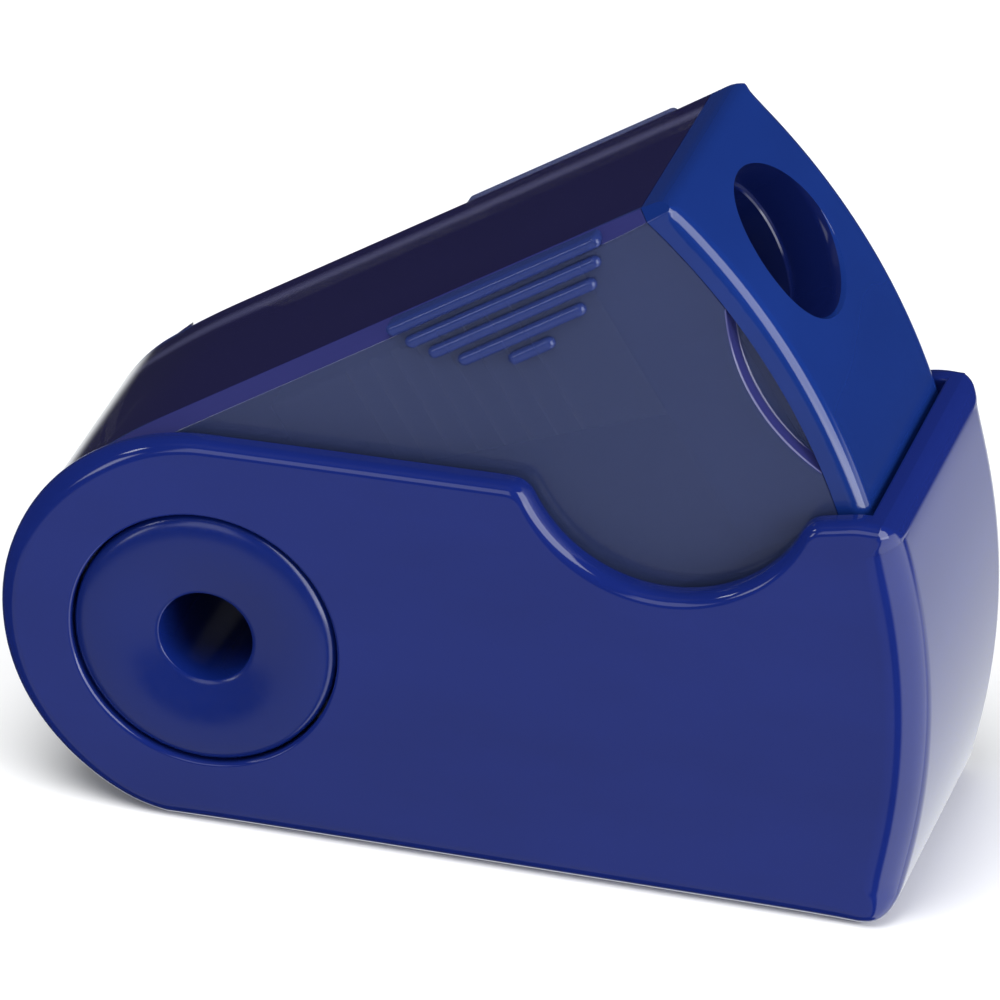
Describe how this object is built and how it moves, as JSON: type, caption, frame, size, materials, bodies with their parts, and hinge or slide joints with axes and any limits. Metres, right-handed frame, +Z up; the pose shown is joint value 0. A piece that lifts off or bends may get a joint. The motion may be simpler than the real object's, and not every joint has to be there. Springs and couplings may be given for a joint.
{
  "type": "pencil sharpener",
  "caption": "Pocket pencil sharpener: a smoky shavings box with a pencil hole in its nose swings about a round hub into a protective sleeve.",
  "frame": {"origin": "centre of the flat base of the sleeve, on its outer face", "axes": "+X from the round hub end to the curved end wall; +Y along the hub, across the width; +Z up"},
  "size_m": [0.0551, 0.0206, 0.0435],
  "materials": {
    "sleeve_blue": "glossy royal blue moulding",
    "container_smoke": "smoky blue translucent moulding",
    "cap_blue": "glossy blue moulding",
    "button_satin": "satin blue moulding",
    "block_metal": "machined light alloy",
    "blade_steel": "ground steel",
    "screw_steel": "plated steel"
  },
  "bodies": {
    "sleeve_body": {"sleeve": "sleeve_blue"},
    "box_body": {"container": "container_smoke", "nose_cap": "cap_blue", "sharpener_block": "block_metal", "blade": "blade_steel", "blade_screw": "screw_steel", "near_hub_button": "button_satin", "far_hub_button": "button_satin"}
  },
  "joints": [
    {"name": "box_swivel", "type": "hinge", "parent": "sleeve_body", "child": "box_body", "pos_m": [-0.02, 0, 0.0121], "axis": [0, 1, 0], "range_deg": [0, 31]}
  ]
}
